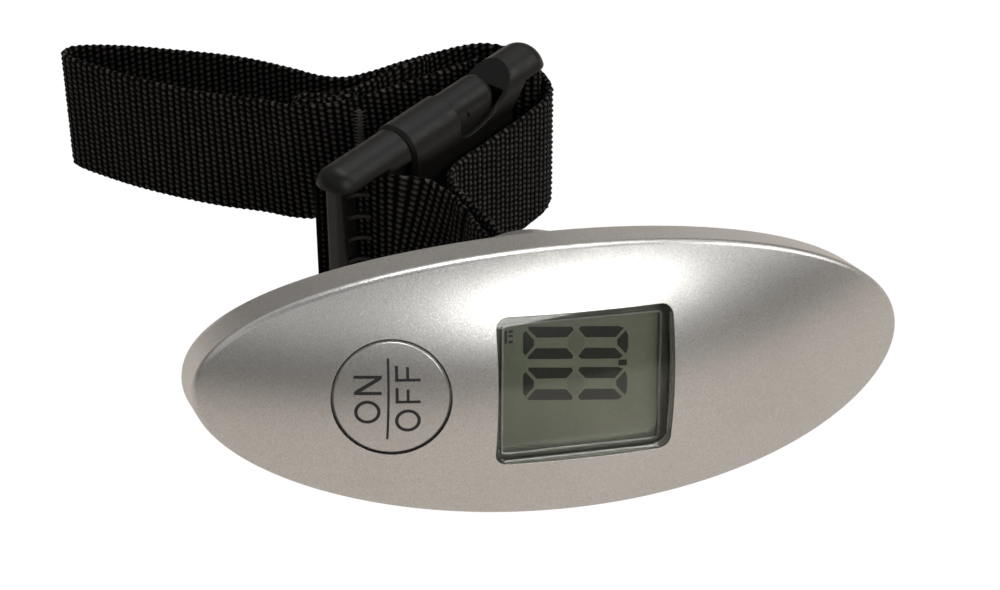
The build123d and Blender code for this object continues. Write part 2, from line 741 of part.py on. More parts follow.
def prong(flip):
    s = (lambda z: 2 * bk_mid - z) if flip else (lambda z: z)
    with BuildSketch(SIDE) as strip:
        with Locations((arm_piv_b, s(arm_piv_z))):
            Circle(1.7)
        with Locations(((arm_piv_b + 33.5) / 2, s(26.2))):
            Rectangle(33.5 - arm_piv_b, 2.0)
    extrude(strip.sketch, amount=2.5, both=True)
    with BuildSketch(cross_plane(32.75)) as head:
        with Locations((0, s(27.2))):
            Rectangle(7.4, 4.0)
        with Locations((0, s(29.2))):
            Circle(3.7)
    extrude(head.sketch, amount=-11.75)


with BuildPart() as release_prong_upper:
    prong(False)
    fillet(release_prong_upper.faces().sort_by(Axis(BK0, BD))[-1:].edges(), 2.2)
    with BuildSketch(SIDE.offset(3.6)):
        with Locations((36.6, 29.3)):
            Circle(0.55)
    extrude(amount=0.4)
save(release_prong_upper.part, "release_prong_upper")

with BuildPart() as release_prong_lower:
    prong(True)
    fillet(release_prong_lower.faces().sort_by(Axis(BK0, BD))[-1:].edges(), 2.2)
save(release_prong_lower.part, "release_prong_lower")

# ---------------------------------------------------------------------------
# webbing: one strip 25 x 1.4, split where the buckle's plug comes away
# ---------------------------------------------------------------------------


def catmull(pts, step):
    """Smooth curve through the points, sampled about every step mm."""
    out = []
    n = len(pts)
    for i in range(n - 1):
        p0 = pts[i - 1] if i > 0 else lin(pts[0], (1, lin(pts[0], (-1, pts[1]))))
        p1, p2 = pts[i], pts[i + 1]
        p3 = pts[i + 2] if i + 2 < n else lin(pts[-1], (1, lin(pts[-1], (-1, pts[-2]))))
        d = math.dist(p1, p2)
        m = max(1, int(round(d / step)))
        t0 = 0.0
        t1 = t0 + max(math.dist(p0, p1), 1e-6) ** 0.5
        t2 = t1 + max(d, 1e-6) ** 0.5
        t3 = t2 + max(math.dist(p2, p3), 1e-6) ** 0.5
        for k in range(m):
            t = t1 + (t2 - t1) * k / m
            q = []
            for c in range(3):
                a1 = (t1 - t) / (t1 - t0) * p0[c] + (t - t0) / (t1 - t0) * p1[c]
                a2 = (t2 - t) / (t2 - t1) * p1[c] + (t - t1) / (t2 - t1) * p2[c]
                a3 = (t3 - t) / (t3 - t2) * p2[c] + (t - t2) / (t3 - t2) * p3[c]
                b1 = (t2 - t) / (t2 - t0) * a1 + (t - t0) / (t2 - t0) * a2
                b2 = (t3 - t) / (t3 - t1) * a2 + (t - t1) / (t3 - t1) * a3
                q.append((t2 - t) / (t2 - t1) * b1 + (t - t1) / (t2 - t1) * b2)
            out.append(tuple(q))
    out.append(pts[-1])
    return out


def arc_pts(cx, cy, r, a0, a1, n, z0, z1):
    return [(cx + r * math.cos(math.radians(a0 + (a1 - a0) * k / n)),
             cy + r * math.sin(math.radians(a0 + (a1 - a0) * k / n)),
             z0 + (z1 - z0) * k / n) for k in range(n + 1)]


def ribbon(points, wdirs):
    sections = []
    for i, p in enumerate(points):
        a = points[max(i - 1, 0)]
        b = points[min(i + 1, len(points) - 1)]
        t = norm(lin(b, (-1, a)))
        w = wdirs[i]
        dot = sum(w[c] * t[c] for c in range(3))
        w = norm(lin(w, (-dot, t)))
        with BuildSketch(Plane(origin=p, x_dir=cross(w, t), z_dir=t)) as section:
            Rectangle(web_t, web_w)
        sections.append(section.sketch)
    loft(sections, ruled=True)


def width_dir(p):
    """Across-strap direction: along the pin in the neck, upright farther out."""
    k = min(max((p[1] - (apex_y + 36.0)) / 20.0, 0.0), 1.0)
    k = k * k * (3 - 2 * k)
    return norm(lin((0, 0, 0), (1 - k, V), (k, ZD)))


def rf(x, y, z):
    return (apex_x + x, apex_y + y, z)


def local_bk(b, n, z):
    return bk(b, n, z)


z_low = web_w / 2 + 0.036
wrap_r = pin_r + 0.15 + web_t / 2

# plug side of the strap: from the split to the free end behind the end bar
adj_ctrl = [rf(-4.95, 57.2, 13.9), rf(-6.5, 60.3, 14.5), local_bk(15.6, 9.2, 15.7), local_bk(13.3, 5.9, 16.55),
            local_bk(11.9, 2.6, bk_mid), local_bk(11.2, -0.4, bk_mid), local_bk(9.9, -2.5, bk_mid),
            local_bk(7.8, -3.15, bk_mid), local_bk(4.9, -3.1, bk_mid), local_bk(2.2, -3.0, bk_mid)]
adj_pts = catmull(adj_ctrl, 1.6)
with BuildPart() as strap_adjuster_end:
    ribbon(adj_pts, [width_dir(p) for p in adj_pts])
save(strap_adjuster_end.part, "strap_adjuster_end")

# main strap: neck, load pin, right fold, left fold, socket bar, sewn hem
pin_arc = [bp(wrap_r * math.cos(math.radians(a)), 0, -pin_depth + wrap_r * math.sin(math.radians(a)))
           for a in range(180, -1, -20)]
ctrl_a = [rf(-4.7, 56.4, 13.7), rf(-3.9, 52.6, 13.15), bp(-1.45, 0, -46.5), bp(-1.6, 0, -41.0),
          bp(-2.2, 0, -36.0), bp(-2.75, 0, -32.8)]
ctrl_b = [bp(2.75, 0, -32.8), bp(2.2, 0, -36.0), bp(1.6, 0, -41.0), bp(1.0, 0, -46.5),
          rf(-1.0, 53.0, z_low + 0.05), rf(-2.6, 60.0, z_low), rf(-3.5, 66.0, z_low), rf(-2.6, 70.2, z_low),
          rf(0.6, 73.2, z_low), rf(8.6, 78.9, z_low), rf(16.6, 84.9, z_low), rf(20.6, 88.3, z_low),
          rf(22.7, 92.2, z_low), rf(22.9, 97.0, z_low), rf(21.6, 102.2, z_low), rf(18.7, 106.8, z_low),
          rf(13.6, 109.9, z_low), rf(6.9, 110.4, z_low), rf(-1.0, 108.9, z_low), rf(-7.4, 107.1, z_low),
          rf(-12.7, 106.4, z_low), rf(-17.0, 108.2, z_low), rf(-22.0, 112.8, z_low), rf(-30.0, 119.4, z_low),
          rf(-42.0, 126.0, z_low), rf(-51.0, 130.3, z_low), rf(-57.6, 132.4, z_low), rf(-60.3, 132.5, z_low),
          rf(-61.6, 131.2, z_low), rf(-61.0, 129.3, z_low), rf(-56.0, 123.4, z_low), rf(-49.6, 117.1, z_low),
          rf(-38.7, 108.5, z_low), rf(-30.0, 102.6, z_low + 0.4), rf(-26.0, 99.2, z_low + 0.7),
          rf(-22.4, 97.1, z_low + 1.0), rf(-18.0, 96.0, z_low + 1.4), rf(-13.0, 95.8, z_low + 1.8),
          rf(-6.0, 96.4, z_low + 2.6), rf(2.0, 97.5, z_low + 3.4), local_bk(52.4, -8.2, bk_mid - 0.3),
          local_bk(54.6, -6.2, bk_mid), local_bk(55.15, -3.4, bk_mid)]
bar_arc = [local_bk(bar_b + 2.45 * math.cos(math.radians(a)), 2.45 * math.sin(math.radians(a)), bk_mid)
           for a in range(180, -1, -30)]
ctrl_c = [local_bk(60.05, -3.2, bk_mid), local_bk(59.6, -6.6, bk_mid), local_bk(58.4, -10.4, bk_mid - 0.4),
          local_bk(55.4, -14.0, bk_mid - 1.0), local_bk(50.5, -17.2, bk_mid - 1.6),
          rf(-2.7, 103.4, z_low + 2.6), rf(-7.0, 101.6, z_low + 2.2), rf(-11.5, 99.8, z_low + 1.9),
          rf(-15.0, 99.2, z_low + 1.7), rf(-18.5, 99.7, z_low + 1.4), rf(-21.9, 101.0, z_low + 1.2)]
hem = [rf(-23.3, 100.9, z_low + 1.15), rf(-23.5, 99.6, z_low + 1.15), rf(-22.2, 98.9, z_low + 1.2),
       rf(-18.2, 97.85, z_low + 1.4), rf(-15.0, 97.55, z_low + 1.7), rf(-12.2, 97.6, z_low + 1.85)]

main_pts = catmull(ctrl_a + pin_arc[0:1], 2.2)[:-1] + pin_arc + catmull(pin_arc[-1:] + ctrl_b + bar_arc[0:1], 2.6)[1:-1] \
    + bar_arc + catmull(bar_arc[-1:] + ctrl_c + hem, 2.4)[1:]
with BuildPart() as strap_webbing:
    ribbon(main_pts, [width_dir(p) for p in main_pts])
save(strap_webbing.part, "strap_webbing")

# bar tacks: dense thread ridges that close the loop round the socket bar
with BuildPart() as bar_tack_stitching:
    for (x, y) in ((-13.2, 94.66), (-13.4, 100.5)):
        with BuildSketch(Plane(origin=rf(x, y, z_low + 1.8), x_dir=(1, 0, 0), z_dir=ZD)):
            RectangleRounded(1.8, 0.36, 0.15)
        extrude(amount=10.5, both=True)
save(bar_tack_stitching.part, "bar_tack_stitching")
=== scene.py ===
import json
import math
import bpy
import numpy as np
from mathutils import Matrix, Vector


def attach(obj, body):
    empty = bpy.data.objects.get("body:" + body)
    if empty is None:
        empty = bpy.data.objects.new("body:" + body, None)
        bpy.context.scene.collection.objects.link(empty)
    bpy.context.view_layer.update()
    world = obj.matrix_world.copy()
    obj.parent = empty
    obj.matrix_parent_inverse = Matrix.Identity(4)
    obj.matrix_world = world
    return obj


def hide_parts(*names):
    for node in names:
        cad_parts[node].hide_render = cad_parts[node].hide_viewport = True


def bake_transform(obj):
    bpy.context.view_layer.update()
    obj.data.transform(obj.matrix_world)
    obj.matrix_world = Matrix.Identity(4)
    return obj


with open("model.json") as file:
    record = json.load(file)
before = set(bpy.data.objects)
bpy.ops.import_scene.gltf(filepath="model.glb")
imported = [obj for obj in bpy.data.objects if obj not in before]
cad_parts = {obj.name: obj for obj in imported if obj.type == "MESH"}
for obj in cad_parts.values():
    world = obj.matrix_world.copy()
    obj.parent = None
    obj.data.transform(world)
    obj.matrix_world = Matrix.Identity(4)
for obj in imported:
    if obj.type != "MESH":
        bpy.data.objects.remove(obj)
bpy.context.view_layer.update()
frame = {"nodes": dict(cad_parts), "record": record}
nodes = frame["nodes"]
MM = 0.001

# ---------------------------------------------------------------- frame of the design, mm
apex = np.array([1.535, -65.60, 26.65])


def unit(a):
    a = np.asarray(a, float)
    return a / np.linalg.norm(a)


roll, lean = math.radians(5.85), math.radians(17.42)
U = np.array([math.cos(roll), 0.0, -math.sin(roll)])
N = unit([math.sin(roll) * math.sin(lean), -math.cos(lean), math.cos(roll) * math.sin(lean)])
V = np.cross(N, U)
Z = np.array([0.0, 0.0, 1.0])
FACE_L, FACE_C = 119.8, 42.9


def bp(u, v, w):
    return apex + u * U + v * V + w * N


def face_w(u, v):
    rr = FACE_L - FACE_C + math.sqrt(FACE_C ** 2 - v * v)
    return -FACE_L + math.sqrt(rr * rr - u * u)


ang = math.radians(35.3)
BD = np.array([math.cos(ang), math.sin(ang), 0.0])
ND = np.array([math.sin(ang), -math.cos(ang), 0.0])
BK0 = np.array([apex[0] - 28.2, apex[1] + 62.2, 0.0])


def bk(b, n, z):
    return BK0 + b * BD + n * ND + z * Z


def rf(x, y, z):
    return np.array([apex[0] + x, apex[1] + y, z])


# ---------------------------------------------------------------- material helpers
def new_mat(name):
    m = bpy.data.materials.new(name)
    m.use_nodes = True
    nt = m.node_tree
    nt.nodes.clear()
    out = nt.nodes.new("ShaderNodeOutputMaterial")
    b = nt.nodes.new("ShaderNodeBsdfPrincipled")
    nt.links.new(b.outputs[0], out.inputs[0])
    return m, nt, b, out


def coords(nt, scale=(1, 1, 1)):
    tc = nt.nodes.new("ShaderNodeTexCoord")
    mp = nt.nodes.new("ShaderNodeMapping")
    mp.inputs["Scale"].default_value = scale
    nt.links.new(tc.outputs["Object"], mp.inputs["Vector"])
    return mp.outputs["Vector"]


def noise(nt, vec, scale, detail=3.0, rough=0.5):
    n = nt.nodes.new("ShaderNodeTexNoise")
    n.inputs["Scale"].default_value = scale
    n.inputs["Detail"].default_value = detail
    n.inputs["Roughness"].default_value = rough
    nt.links.new(vec, n.inputs["Vector"])
    return n.outputs["Fac"]


def ramp(nt, fac, stops):
    r = nt.nodes.new("ShaderNodeValToRGB")
    el = r.color_ramp.elements
    while len(el) < len(stops):
        el.new(0.5)
    for e, (p, c) in zip(el, stops):
        e.position = p
        e.color = (c[0], c[1], c[2], 1.0) if hasattr(c, "__len__") else (c, c, c, 1.0)
    nt.links.new(fac, r.inputs["Fac"])
    return r.outputs["Color"]


def bump(nt, b, height, strength, dist, bevel=None):
    bn = nt.nodes.new("ShaderNodeBump")
    bn.inputs["Strength"].default_value = strength
    bn.inputs["Distance"].default_value = dist
    nt.links.new(height, bn.inputs["Height"])
    if bevel:
        bv = nt.nodes.new("ShaderNodeBevel")
        bv.samples = 4
        bv.inputs["Radius"].default_value = bevel
        nt.links.new(bv.outputs["Normal"], bn.inputs["Normal"])
    nt.links.new(bn.outputs["Normal"], b.inputs["Normal"])


def simple(name, c_lo, c_hi, scale, rough_lo, rough_hi, metallic=0.0, bump_s=0.2, bump_d=0.00005, bevel=None, spec=0.5, stretch=(1, 1, 1)):
    m, nt, b, out = new_mat(name)
    vec = coords(nt, stretch)
    n1 = noise(nt, vec, scale, 4.0, 0.6)
    nt.links.new(ramp(nt, n1, [(0.3, c_lo), (0.7, c_hi)]), b.inputs["Base Color"])
    n2 = noise(nt, vec, scale * 0.23, 3.0, 0.5)
    nt.links.new(ramp(nt, n2, [(0.3, rough_lo), (0.7, rough_hi)]), b.inputs["Roughness"])
    b.inputs["Metallic"].default_value = metallic
    b.inputs["Specular IOR Level"].default_value = spec
    bump(nt, b, n1, bump_s, bump_d, bevel)
    return m


# silver lacquer: fine grain, a slight warm cloud, brighter flakes
def paint(name, tint=1.0):
    m, nt, b, out = new_mat(name)
    vec = coords(nt)
    grain = noise(nt, vec, 3300.0, 2.0, 0.65)
    flake = noise(nt, vec, 6500.0, 1.0, 0.5)
    cloud = noise(nt, vec, 45.0, 2.0, 0.5)
    g = ramp(nt, grain, [(0.25, (0.50 * tint, 0.49 * tint, 0.475 * tint)), (0.75, (0.70 * tint, 0.69 * tint, 0.672 * tint))])
    c = ramp(nt, cloud, [(0.3, (0.94, 0.935, 0.925)), (0.7, (1.0, 1.0, 1.0))])
    mix = nt.nodes.new("ShaderNodeMix")
    mix.data_type = "RGBA"
    mix.blend_type = "MULTIPLY"
    mix.inputs["Factor"].default_value = 1.0
    nt.links.new(g, mix.inputs[6])
    nt.links.new(c, mix.inputs[7])
    nt.links.new(mix.outputs[2], b.inputs["Base Color"])
    b.inputs["Metallic"].default_value = 0.95
    nt.links.new(ramp(nt, flake, [(0.3, 0.27), (0.7, 0.38)]), b.inputs["Roughness"])
    b.inputs["Specular IOR Level"].default_value = 0.5
    add = nt.nodes.new("ShaderNodeMath")
    add.operation = "ADD"
    nt.links.new(grain, add.inputs[0])
    nt.links.new(flake, add.inputs[1])
    bump(nt, b, add.outputs[0], 0.32, 0.00005, 0.00012)
    return m


mat_paint = paint("silver_lacquer")
mat_button = paint("silver_lacquer_button", 0.93)
mat_buckle = simple("buckle_black", (0.0030, 0.0027, 0.0024), (0.0072, 0.0065, 0.0058), 2600.0, 0.34, 0.46, bump_s=0.5, bump_d=0.00006, bevel=0.00035, spec=0.22)
mat_dark = simple("dark_moulding", (0.030, 0.032, 0.028), (0.055, 0.057, 0.050), 900.0, 0.4, 0.6, bump_s=0.2)
mat_steel = simple("plated_steel", (0.50, 0.50, 0.50), (0.64, 0.64, 0.63), 700.0, 0.22, 0.38, metallic=1.0, bump_s=0.15, stretch=(1, 6, 1))
mat_alu = simple("milled_aluminium", (0.62, 0.63, 0.65), (0.76, 0.77, 0.79), 500.0, 0.28, 0.42, metallic=1.0, stretch=(8, 1, 1))
mat_board = simple("board_solder_mask", (0.010, 0.085, 0.035), (0.02, 0.13, 0.055), 300.0, 0.25, 0.40)
mat_chip = simple("chip_package", (0.014, 0.014, 0.014), (0.03, 0.03, 0.03), 1500.0, 0.45, 0.6)
mat_rubber = simple("strip_elastomer", (0.10, 0.10, 0.105), (0.22, 0.22, 0.22), 700.0, 0.6, 0.8, stretch=(14, 1, 1))
mat_gauge = simple("gauge_film", (0.42, 0.22, 0.05), (0.62, 0.38, 0.12), 900.0, 0.3, 0.5)
mat_wire = simple("wire_insulation", (0.32, 0.02, 0.02), (0.46, 0.04, 0.035), 900.0, 0.35, 0.5)
mat_cell = simple("battery_can", (0.58, 0.58, 0.57), (0.72, 0.72, 0.71), 420.0, 0.2, 0.32, metallic=1.0)
mat_ink = simple("printed_ink", (0.006, 0.006, 0.006), (0.014, 0.014, 0.014), 2500.0, 0.45, 0.6)
mat_segment = simple("segment_dark", (0.010, 0.011, 0.010), (0.017, 0.018, 0.016), 1800.0, 0.35, 0.45)
mat_segment_off = simple("segment_faint", (0.140, 0.152, 0.106), (0.165, 0.176, 0.126), 1500.0, 0.35, 0.45)
mat_clear_edge = simple("moulded_clear_edge", (0.20, 0.20, 0.185), (0.34, 0.335, 0.31), 300.0, 0.08, 0.2, bump_s=0.05, spec=0.8)

# display glass: olive ground with a broad darker cloud and fine grain
mat_lcd, nt, b, out = new_mat("lcd_ground")
vec = coords(nt)
fine = noise(nt, vec, 2600.0, 3.0, 0.6)
broad = noise(nt, vec, 38.0, 2.0, 0.5)
c1 = ramp(nt, broad, [(0.32, (0.125, 0.145, 0.098)), (0.68, (0.225, 0.240, 0.175))])
c2 = ramp(nt, fine, [(0.3, (0.86, 0.86, 0.86)), (0.7, (1, 1, 1))])
mix = nt.nodes.new("ShaderNodeMix")
mix.data_type = "RGBA"
mix.blend_type = "MULTIPLY"
mix.inputs["Factor"].default_value = 1.0
nt.links.new(c1, mix.inputs[6])
nt.links.new(c2, mix.inputs[7])
nt.links.new(mix.outputs[2], b.inputs["Base Color"])
b.inputs["Roughness"].default_value = 0.32
bump(nt, b, fine, 0.1, 0.00002)

# clear lens: see-through, with a mirror-like surface whose strength follows the viewing angle
mat_lens = bpy.data.materials.new("clear_lens")
mat_lens.use_nodes = True
nt = mat_lens.node_tree
nt.nodes.clear()
out = nt.nodes.new("ShaderNodeOutputMaterial")
tr = nt.nodes.new("ShaderNodeBsdfTransparent")
gl = nt.nodes.new("ShaderNodeBsdfGlossy")
fr = nt.nodes.new("ShaderNodeFresnel")
mx = nt.nodes.new("ShaderNodeMixShader")
vec = coords(nt)
wav = noise(nt, vec, 60.0, 2.0, 0.4)
smear = noise(nt, vec, 900.0, 2.0, 0.6)
nt.links.new(ramp(nt, smear, [(0.3, (0.93, 0.94, 0.92)), (0.7, (0.97, 0.975, 0.96))]), tr.inputs["Color"])
nt.links.new(ramp(nt, smear, [(0.3, 0.03), (0.7, 0.05)]), gl.inputs["Roughness"])
bn = nt.nodes.new("ShaderNodeBump")
bn.inputs["Strength"].default_value = 0.12
bn.inputs["Distance"].default_value = 0.0003
nt.links.new(wav, bn.inputs["Height"])
nt.links.new(bn.outputs["Normal"], gl.inputs["Normal"])
nt.links.new(bn.outputs["Normal"], fr.inputs["Normal"])
fr.inputs["IOR"].default_value = 1.40
nt.links.new(fr.outputs[0], mx.inputs[0])
nt.links.new(tr.outputs[0], mx.inputs[1])
nt.links.new(gl.outputs[0], mx.inputs[2])
nt.links.new(mx.outputs[0], out.inputs[0])

# webbing yarn: near black, dull, with fibre streaks and a weak sheen, plus painted shade in the low valleys of the
# weave
mat_web, nt, b, out = new_mat("webbing_yarn")
vec = coords(nt)
fib = noise(nt, vec, 5200.0, 3.0, 0.7)
blot = noise(nt, vec, 260.0, 2.0, 0.6)
c1 = ramp(nt, fib, [(0.3, (0.020, 0.0175, 0.0155)), (0.72, (0.070, 0.062, 0.055))])
c2 = ramp(nt, blot, [(0.3, (0.72, 0.72, 0.72)), (0.7, (1, 1, 1))])
mix = nt.nodes.new("ShaderNodeMix")
mix.data_type = "RGBA"
mix.blend_type = "MULTIPLY"
mix.inputs["Factor"].default_value = 1.0
nt.links.new(c1, mix.inputs[6])
nt.links.new(c2, mix.inputs[7])
at = nt.nodes.new("ShaderNodeAttribute")
at.attribute_name = "relief"
# painted shade: the yarn colour is multiplied down towards 6% where the relief is low, darkening the valleys between
# ribs and knuckles
painted_valley_shade = nt.nodes.new("ShaderNodeMix")
painted_valley_shade.data_type = "RGBA"
painted_valley_shade.blend_type = "MULTIPLY"
painted_valley_shade.inputs["Factor"].default_value = 1.0
nt.links.new(mix.outputs[2], painted_valley_shade.inputs[6])
nt.links.new(ramp(nt, at.outputs["Fac"], [(0.10, 0.06), (0.55, 0.40), (0.95, 1.0)]), painted_valley_shade.inputs[7])
nt.links.new(painted_valley_shade.outputs[2], b.inputs["Base Color"])
b.inputs["Roughness"].default_value = 0.72
nt.links.new(ramp(nt, at.outputs["Fac"], [(0.15, 0.0), (0.8, 0.35)]), b.inputs["Specular IOR Level"])
b.inputs["Sheen Weight"].default_value = 0.03
b.inputs["Sheen Roughness"].default_value = 0.4
bump(nt, b, fib, 0.55, 0.00008)
mat_thread = simple("sewn_thread", (0.012, 0.0115, 0.011), (0.045, 0.043, 0.040), 5200.0, 0.5, 0.7, bump_s=0.5, bump_d=0.00006)

slot_mats = {
    "housing_paint": mat_paint, "lens_clear": mat_lens, "lcd_glass": mat_lcd, "frame_plastic": mat_dark, "board_green": mat_board,
    "chip_black": mat_chip, "strip_rubber": mat_rubber, "steel": mat_steel, "cell_aluminium": mat_alu, "gauge_film": mat_gauge,
    "wire_insulation": mat_wire, "battery_can": mat_cell, "webbing": mat_web, "thread": mat_thread, "buckle_plastic": mat_buckle,
}
for sp in frame["record"]["subparts"]:
    o = nodes[sp["node"]]
    m = slot_mats[sp["material_slot"]]
    if sp["node"] == "power_button":
        m = mat_button
    o.data.materials.clear()
    o.data.materials.append(m)


# ---------------------------------------------------------------- mesh helpers
def piece(name, verts, faces, mat, smooth=True):
    me = bpy.data.meshes.new(name)
    me.from_pydata([tuple(np.asarray(v, float) * MM) for v in verts], [], faces)
    me.validate()
    me.update()
    o = bpy.data.objects.new(name, me)
    bpy.context.scene.collection.objects.link(o)
    me.materials.append(mat)
    if smooth:
        me.polygons.foreach_set("use_smooth", [True] * len(me.polygons))
    return o


def sharpen(o, deg=35):
    o.data.set_sharp_from_angle(angle=math.radians(deg))


def fix_normals(o):
    import bmesh
    bm = bmesh.new()
    bm.from_mesh(o.data)
    bmesh.ops.recalc_face_normals(bm, faces=bm.faces)
    bm.to_mesh(o.data)
    bm.free()


class Build:
    """Collects closed prisms that lie on the dome or on a plane of the housing."""

    def __init__(self):
        self.v, self.f = [], []

    def prism(self, outline, low, high):
        """outline: (u, v) points; low and high: functions (u, v) -> row point."""
        n, k = len(outline), len(self.v)
        self.v += [low(*p) for p in outline] + [high(*p) for p in outline]
        self.f.append([k + n + i for i in range(n)])
        self.f.append([k + n - 1 - i for i in range(n)])
        for i in range(n):
            j = (i + 1) % n
            self.f.append([k + i, k + j, k + n + j, k + n + i])

    def ribbon(self, pts, width, low, high, closed=False):
        """A stroke of even width along (u, v) points, cut fine enough to follow the dome."""
        P = [np.array(p, float) for p in pts]
        if closed:
            P = P + [P[0]]
        Q = []
        for a, c in zip(P[:-1], P[1:]):
            m = max(1, int(np.linalg.norm(c - a) / 0.3))
            Q += [a + (c - a) * i / m for i in range(m)]
        if not closed:
            Q.append(P[-1])
        n, k = len(Q), len(self.v)
        for i, q in enumerate(Q):
            a = Q[(i - 1) % n] if closed else Q[max(i - 1, 0)]
            c = Q[(i + 1) % n] if closed else Q[min(i + 1, n - 1)]
            t = (c - a) / max(np.linalg.norm(c - a), 1e-9)
            s = np.array([-t[1], t[0]]) * width / 2
            self.v += [low(*(q - s)), low(*(q + s)), high(*(q + s)), high(*(q - s))]
        for i in range(n if closed else n - 1):
            a, c = k + 4 * i, k + 4 * ((i + 1) % n)
            for e in range(4):
                g = (e + 1) % 4
                self.f.append([a + e, c + e, c + g, a + g])
        if not closed:
            e = k + 4 * (n - 1)
            self.f.append([k, k + 1, k + 2, k + 3])
            self.f.append([e + 3, e + 2, e + 1, e])


# ---------------------------------------------------------------- webbing
WEB_T, WEB_W, BAR_B, BK_MID = 1.4, 25.0, 57.6, 16.7


def catmull(pts, step):
    pts = [np.asarray(p, float) for p in pts]
    out, n = [], len(pts)
    for i in range(n - 1):
        p0 = pts[i - 1] if i > 0 else 2 * pts[0] - pts[1]
        p1, p2 = pts[i], pts[i + 1]
        p3 = pts[i + 2] if i + 2 < n else 2 * pts[-1] - pts[-2]
        d = np.linalg.norm(p2 - p1)
        m = max(1, int(round(d / step)))
        t0 = 0.0
        t1 = t0 + max(np.linalg.norm(p1 - p0), 1e-6) ** 0.5
        t2 = t1 + max(d, 1e-6) ** 0.5
        t3 = t2 + max(np.linalg.norm(p3 - p2), 1e-6) ** 0.5
        for k in range(m):
            t = t1 + (t2 - t1) * k / m
            a1 = (t1 - t) / (t1 - t0) * p0 + (t - t0) / (t1 - t0) * p1
            a2 = (t2 - t) / (t2 - t1) * p1 + (t - t1) / (t2 - t1) * p2
            a3 = (t3 - t) / (t3 - t2) * p2 + (t - t2) / (t3 - t2) * p3
            b1 = (t2 - t) / (t2 - t0) * a1 + (t - t0) / (t2 - t0) * a2
            b2 = (t3 - t) / (t3 - t1) * a2 + (t - t1) / (t3 - t1) * a3
            out.append((t2 - t) / (t2 - t1) * b1 + (t - t1) / (t2 - t1) * b2)
    out.append(pts[-1])
    return out


def width_dir(p):
    k = min(max((p[1] - (apex[1] + 36.0)) / 20.0, 0.0), 1.0)
    k = k * k * (3 - 2 * k)
    return unit((1 - k) * V + k * Z)


z_low = WEB_W / 2 + 0.036
wrap_r = 2.0 + 0.15 + WEB_T / 2
STEP = 0.3

adj_ctrl = [rf(-4.95, 57.2, 13.9), rf(-6.5, 60.3, 14.5), bk(15.6, 9.2, 15.7), bk(13.3, 5.9, 16.55), bk(11.9, 2.6, BK_MID),
            bk(11.2, -0.4, BK_MID), bk(9.9, -2.5, BK_MID), bk(7.8, -3.15, BK_MID), bk(4.9, -3.1, BK_MID), bk(2.2, -3.0, BK_MID)]
pin_arc = [bp(wrap_r * math.cos(math.radians(a)), 0, -30 + wrap_r * math.sin(math.radians(a))) for a in range(180, -1, -5)]
ctrl_a = [rf(-4.7, 56.4, 13.7), rf(-3.9, 52.6, 13.15), bp(-1.45, 0, -46.5), bp(-1.6, 0, -41.0), bp(-2.2, 0, -36.0), bp(-2.75, 0, -32.8)]
ctrl_b = [bp(2.75, 0, -32.8), bp(2.2, 0, -36.0), bp(1.6, 0, -41.0), bp(1.0, 0, -46.5)]
plan_b = [(-1.0, 53.0, .05), (-2.6, 60.0, 0), (-3.5, 66.0, 0), (-2.6, 70.2, 0), (0.6, 73.2, 0), (8.6, 78.9, 0), (16.6, 84.9, 0), (20.6, 88.3, 0),
          (22.7, 92.2, 0), (22.9, 97.0, 0), (21.6, 102.2, 0), (18.7, 106.8, 0), (13.6, 109.9, 0), (6.9, 110.4, 0), (-1.0, 108.9, 0),
          (-7.4, 107.1, 0), (-12.7, 106.4, 0), (-17.0, 108.2, 0), (-22.0, 112.8, 0), (-30.0, 119.4, 0), (-42.0, 126.0, 0),
          (-51.0, 130.3, 0), (-57.6, 132.4, 0), (-60.3, 132.5, 0), (-61.6, 131.2, 0), (-61.0, 129.3, 0), (-56.0, 123.4, 0),
          (-49.6, 117.1, 0), (-38.7, 108.5, 0), (-30.0, 102.6, 0.4), (-26.0, 99.2, 0.7), (-22.4, 97.1, 1.0), (-18.0, 96.0, 1.4),
          (-13.0, 95.8, 1.8), (-6.0, 96.4, 2.6), (2.0, 97.5, 3.4)]
ctrl_b += [rf(x, y, z_low + dz) for x, y, dz in plan_b]
ctrl_b += [bk(52.4, -8.2, BK_MID - 0.3), bk(54.6, -6.2, BK_MID), bk(55.15, -3.4, BK_MID)]
bar_arc = [bk(BAR_B + 2.45 * math.cos(math.radians(a)), 2.45 * math.sin(math.radians(a)), BK_MID) for a in range(180, -1, -6)]
ctrl_c = [bk(60.05, -3.2, BK_MID), bk(59.6, -6.6, BK_MID), bk(58.4, -10.4, BK_MID - 0.4), bk(55.4, -14.0, BK_MID - 1.0),
          bk(50.5, -17.2, BK_MID - 1.6), rf(-2.7, 103.4, z_low + 2.6), rf(-7.0, 101.6, z_low + 2.2), rf(-11.5, 99.8, z_low + 1.9),
          rf(-15.0, 99.2, z_low + 1.7), rf(-18.5, 99.7, z_low + 1.4), rf(-21.9, 101.0, z_low + 1.2)]
hem = [rf(-23.3, 100.9, z_low + 1.15), rf(-23.5, 99.6, z_low + 1.15), rf(-22.2, 98.9, z_low + 1.2), rf(-18.2, 97.85, z_low + 1.4),
       rf(-15.0, 97.55, z_low + 1.7), rf(-12.2, 97.6, z_low + 1.85)]

strand_line = catmull(adj_ctrl[::-1] + ctrl_a, STEP)
loop_line = pin_arc[:-1] + catmull([pin_arc[-1]] + ctrl_b + [bar_arc[0]], STEP)[:-1] + bar_arc[:-1] \
    + catmull([bar_arc[-1]] + ctrl_c + hem, STEP)

PITCH_S, PITCH_T = 1.35, 1.15


